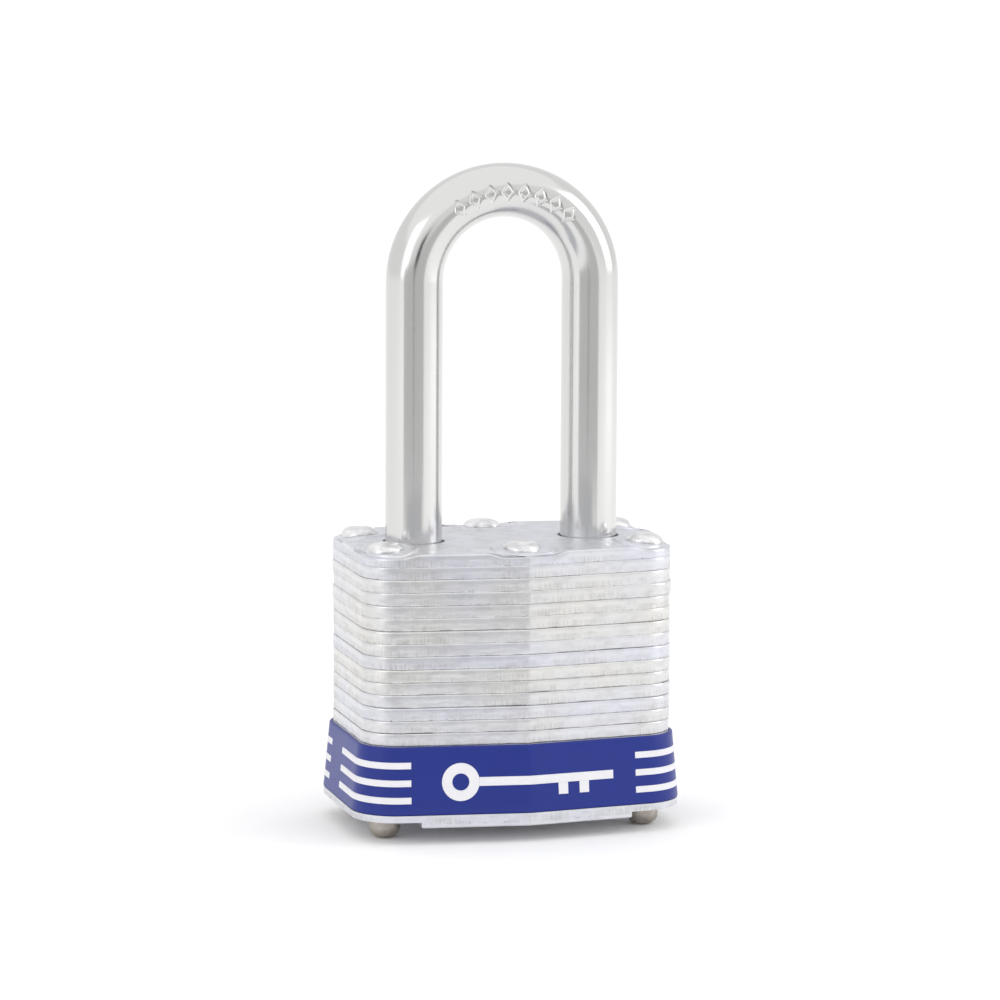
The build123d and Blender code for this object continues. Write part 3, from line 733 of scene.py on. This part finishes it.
# Hot-stamped white ink: slightly grey in its middle, satin, with faint mottling.
place = add(tree, "ShaderNodeTexCoord").outputs["Object"]
mottle = noise(tree, place, 600.0, 3.0)
white = add(tree, "ShaderNodeMix", {
    "Factor": mottle, 6: linear("#dcdce2"), 7: linear("#ecebee")}, data_type="RGBA")
tree.links.new(white.outputs[2], shader.inputs["Base Color"])
shader.inputs["Roughness"].default_value = 0.45
shader.inputs["IOR"].default_value = 1.5


def ink_piece(name, patches):
    """One piece of ink from several patches."""
    points, faces = [], []
    for patch_points, patch_faces in patches:
        first = sum(len(p) for p in points)
        faces += [[i + first for i in face] for face in patch_faces]
        points.append(patch_points)
    made = make_piece(name, np.concatenate(points), faces, ink, "body", crease=60)


plan_length = outline(0, plan_count)[2]
runs = []
for turn in (1, -1):
    runs.append((plan_distance(-half_width * turn, -long_stripe[1] * turn),
                 plan_distance(-long_stripe[0] * turn, -half_ridge * turn)))
    runs.append((plan_distance(short_stripe[0] * turn, -half_ridge * turn),
                 plan_distance(half_width * turn, -short_stripe[1] * turn)))
runs = [(start, stop + plan_length if stop < start else stop) for start, stop in runs]
ink_piece("corner_stripes", [
    bar_patch(start, stop, height - stripe_width / 2, height + stripe_width / 2)
    for start, stop in runs for height in stripe_heights
])
for face, name in ((-1, "front"), (1, "back")):
    middle = plan_distance(0, face * half_ridge)
    ink_piece(f"key_sign_{name}", [
        ring_patch(middle - 8.6 * MM, sign_height, 1.05 * MM, 2.35 * MM),
        bar_patch(middle - 6.3 * MM, middle + 11.0 * MM, sign_height - 0.55 * MM, sign_height + 0.55 * MM),
        bar_patch(middle + 3.6 * MM, middle + 4.9 * MM, sign_height - 2.0 * MM, sign_height - 0.5 * MM),
        bar_patch(middle + 6.4 * MM, middle + 7.7 * MM, sign_height - 2.0 * MM, sign_height - 0.5 * MM),
    ])

# ---------------------------------------------------------------- bottom plate and lock works
# The bottom plate is the same plated steel, thinned round the feet. The cylinder's housing, plug,
# cover and pins are turned and drilled from free-cutting brass. Levers, retainer and clip are
# hardened and left dark, the cam is die-cast zinc, and the springs are drawn music wire.
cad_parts["bottom_plate"].data.materials.clear()
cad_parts["bottom_plate"].data.materials.append(zinc)

brass, tree, shader = material("turned_brass")
place = add(tree, "ShaderNodeTexCoord").outputs["Object"]
turned = add(tree, "ShaderNodeMapping", {"Vector": place, "Scale": (300, 300, 6000)}).outputs[0]
rings = noise(tree, turned, 1.0, 2.0)
stain = noise(tree, place, 260.0, 4.0)
tone = add(tree, "ShaderNodeMix", {
    "Factor": stain, 6: linear("#b38b45"), 7: linear("#e3c27a")}, data_type="RGBA")
bump = add(tree, "ShaderNodeBump", {"Height": rings, "Strength": 0.2, "Distance": 0.02 * MM})
tree.links.new(tone.outputs[2], shader.inputs["Base Color"])
tree.links.new(bump.outputs[0], shader.inputs["Normal"])
shader.inputs["Roughness"].default_value = 0.27
shader.inputs["Metallic"].default_value = 1.0

dark_steel, tree, shader = material("hardened_spring_steel")
place = add(tree, "ShaderNodeTexCoord").outputs["Object"]
scale_marks = noise(tree, place, 500.0, 4.0)
tone = add(tree, "ShaderNodeMix", {
    "Factor": scale_marks, 6: linear("#4b4d52"), 7: linear("#8f9196")}, data_type="RGBA")
tree.links.new(tone.outputs[2], shader.inputs["Base Color"])
shader.inputs["Roughness"].default_value = 0.4
shader.inputs["Metallic"].default_value = 1.0

cast_zinc, tree, shader = material("die_cast_zinc")
place = add(tree, "ShaderNodeTexCoord").outputs["Object"]
cast_skin = noise(tree, place, 1500.0, 3.0)
bump = add(tree, "ShaderNodeBump", {"Height": cast_skin, "Strength": 0.4, "Distance": 0.04 * MM})
tree.links.new(bump.outputs[0], shader.inputs["Normal"])
shader.inputs["Base Color"].default_value = linear("#a4a7ab")
shader.inputs["Roughness"].default_value = 0.5
shader.inputs["Metallic"].default_value = 1.0

finishes = {
    brass: ["cylinder_housing", "plug", "chamber_cover"]
    + [f"{kind}_pin_{n}" for kind in ("key", "driver") for n in range(1, 5)],
    dark_steel: ["toe_lever", "heel_lever", "shackle_retainer", "plug_clip", "lever_springs"],
    cast_zinc: ["cam"],
}
for finish, nodes in finishes.items():
    for node in nodes:
        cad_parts[node].data.materials.clear()
        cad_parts[node].data.materials.append(finish)

# ---------------------------------------------------------------- coil springs
# Round music wire, wound on a coiling machine and ground off square at the ends. One stands under
# the shackle's heel, and four short ones press the driver pins.
shackle_wire, shackle_turns = 0.9 * MM, 4
pin_wire, pin_turns = 0.28 * MM, 5


def coil(node, axis, wire, turns):
    """A round wire carried along a helix that just fills the CAD spring's box. A point of the wire
    is the helix's place, plus the wire's radius outward and along the axis by its own angle."""
    low, high = (np.array(corner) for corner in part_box(node))
    middle = (low + high) / 2
    length = high[axis] - low[axis] - wire
    across = [i for i in range(3) if i != axis]
    radius = (high[across[0]] - low[across[0]] - wire) / 2
    turn = np.linspace(0, 2 * math.pi * turns, 32 * turns + 1)[:, None]
    round_wire = np.linspace(0, 2 * math.pi, 13)[:-1]
    taper = np.ones_like(turn)
    taper[[0, -1]] = 0
    out = radius + taper * wire / 2 * np.cos(round_wire)
    points = np.empty((len(turn), 12, 3))
    points[..., across[0]] = middle[across[0]] + out * np.cos(turn)
    points[..., across[1]] = middle[across[1]] + out * np.sin(turn)
    rise = wire / 2 + length * turn / turn[-1]
    points[..., axis] = low[axis] + rise + taper * wire / 2 * np.sin(round_wire)
    made = make_piece(f"wound_{node}", points, grid_quads(len(turn), 12), dark_steel, "body", crease=60)
    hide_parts(node)
    return made, length + wire


coil("shackle_spring", 2, shackle_wire, shackle_turns)
for number in range(1, 5):
    spring, length = coil(f"pin_spring_{number}", 1, pin_wire, pin_turns)
    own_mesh(spring)

# ---------------------------------------------------------------- studio
# A plain pale floor, even white light from above and both sides, and a camera a little to the left
# of the front and just above the body. Grey and dark cards out of shot shape the bar's reflections.
paper, tree, shader = material("pale_studio_floor")
shader.inputs["Base Color"].default_value = linear("#ffffff")
shader.inputs["Roughness"].default_value = 0.95
shader.inputs["Specular IOR Level"].default_value = 0.0


def stage_piece(name, points, faces, finish):
    """A piece of the studio, which isn't part of the lock."""
    mesh = bpy.data.meshes.new(name)
    mesh.from_pydata(points, [], faces)
    mesh.materials.append(finish)
    made = bpy.data.objects.new(name, mesh)
    bpy.context.scene.collection.objects.link(made)
    return made


reach = 6.0
stage_piece("floor", [(-reach, -reach, 0), (reach, -reach, 0), (reach, reach, 0), (-reach, reach, 0)],
            [(0, 1, 2, 3)], paper)

world = bpy.data.worlds.new("studio")
bpy.context.scene.world = world
world.use_nodes = True
world.node_tree.nodes["Background"].inputs["Color"].default_value = linear("#ffffff")
world.node_tree.nodes["Background"].inputs["Strength"].default_value = 0.93
bpy.context.scene.view_settings.view_transform = "Standard"

sky_lamp = bpy.data.lights.new("overhead_silk", "SUN")
sky_lamp.energy, sky_lamp.angle = 0.4, math.radians(110)
sky = bpy.data.objects.new("overhead_silk", sky_lamp)
sky.rotation_euler = (math.radians(12), math.radians(-10), 0)
bpy.context.scene.collection.objects.link(sky)


def soft_box(name, spot, aim, width, height, watts):
    """A rectangular soft light at a place, facing a point, not seen by the camera itself."""
    lamp = bpy.data.lights.new(name, "AREA")
    lamp.shape, lamp.size, lamp.size_y, lamp.energy = "RECTANGLE", width, height, watts
    made = bpy.data.objects.new(name, lamp)
    made.location = spot
    made.rotation_euler = (Vector(aim) - Vector(spot)).to_track_quat("-Z", "Y").to_euler()
    made.visible_camera = False
    bpy.context.scene.collection.objects.link(made)


middle = (0, 0, 0.045)
soft_box("left_soft_box", (-0.5, -0.3, 0.25), middle, 0.3, 0.4, 0.3)
soft_box("right_soft_box", (0.5, -0.15, 0.25), middle, 0.3, 0.4, 0.6)


def card(name, start, end, radius, low, high, shade):
    """A curved card standing round the lock between two directions, in degrees from the camera's
    side and positive to its right, glowing faintly and out of the camera's sight."""
    finish, tree, shader = material(name + "_card")
    shader.inputs["Base Color"].default_value = linear("#000000")
    shader.inputs["Emission Color"].default_value = linear(shade)
    shader.inputs["Emission Strength"].default_value = 1.0
    shader.inputs["Specular IOR Level"].default_value = 0.0
    turns = np.radians(np.linspace(start, end, 13) - 15.5)
    ring = np.column_stack([radius * np.sin(turns), -radius * np.cos(turns)])
    points = np.concatenate([np.column_stack([ring, np.full(13, z)]) for z in (low, high)])
    made = stage_piece(name, points.tolist(), grid_quads(2, 13, False), finish)
    made.visible_camera = False
    made.visible_shadow = False
    made.visible_diffuse = False


card("front_grey", -42, 38, 0.26, 0.0, 0.09, "#d0d0d0")
card("low_grey", -34, 24, 0.075, 0.0, 0.03, "#cccdd2")
card("streak_narrow", -3.4, -1.8, 0.25, 0.012, 0.07, "#2a2b2d")
card("streak_wide", -8, 3, 0.25, 0.07, 0.125, "#08080a")

azimuth, elevation, roll = math.radians(-15.52), math.radians(8.2), math.radians(0.303)
distance = 0.598
aside, rise = -0.168 * MM, 4.672 * MM
out = math.cos(elevation)
toward = Vector((math.sin(azimuth) * out, -math.cos(azimuth) * out, math.sin(elevation)))
level = Vector((-toward.y, toward.x, 0)).normalized()
upright = toward.cross(level)
right = math.cos(roll) * level + math.sin(roll) * upright
above = math.cos(roll) * upright - math.sin(roll) * level
camera_data = bpy.data.cameras.new("camera")
camera_data.sensor_width = 36.0
camera_data.lens = 172.1
camera = bpy.data.objects.new("camera", camera_data)
aim = level * aside + Vector((0, 0, body_top + rise))
camera.matrix_world = Matrix((
    [right.x, above.x, toward.x, aim.x + toward.x * distance],
    [right.y, above.y, toward.y, aim.y + toward.y * distance],
    [right.z, above.z, toward.z, aim.z + toward.z * distance],
    [0, 0, 0, 1],
))
bpy.context.scene.collection.objects.link(camera)
bpy.context.scene.camera = camera
